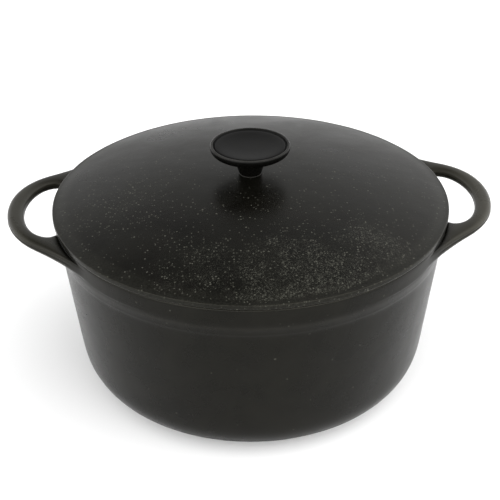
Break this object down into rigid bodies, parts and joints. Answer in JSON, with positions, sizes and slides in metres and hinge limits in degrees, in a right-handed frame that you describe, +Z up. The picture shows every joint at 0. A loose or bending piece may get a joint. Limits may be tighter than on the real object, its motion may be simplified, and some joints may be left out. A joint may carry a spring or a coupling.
{
  "type": "cast iron dutch oven",
  "caption": "Round black cast iron casserole pot with loop handles at the rim and a lift-off domed lid that carries a mushroom knob.",
  "frame": {"origin": "middle of the base on the surface the pot stands on", "axes": "+Z up through the knob, the loop handles on +X and -X"},
  "size_m": [0.308, 0.25, 0.1555],
  "materials": {
    "pot_enamel": "satin black enamel on cast iron, faint casting grain",
    "lid_enamel": "satin black enamel on cast iron with fine pale mineral specks",
    "knob_phenolic": "moulded black phenolic, semi-gloss",
    "insert_brass": "turned brass",
    "hardware_steel": "plated steel"
  },
  "bodies": {
    "pot": {"pot": "pot_enamel"},
    "lid": {"lid": "lid_enamel", "knob": "knob_phenolic", "knob_insert": "insert_brass", "seat_washer": "hardware_steel", "flat_washer": "hardware_steel", "lock_washer": "hardware_steel", "knob_screw": "hardware_steel"}
  },
  "joints": [
    {"name": "lid_lift", "type": "slide", "parent": "pot", "child": "lid", "axis": [0, 0, 1], "range_m": [0, 0.15]}
  ]
}
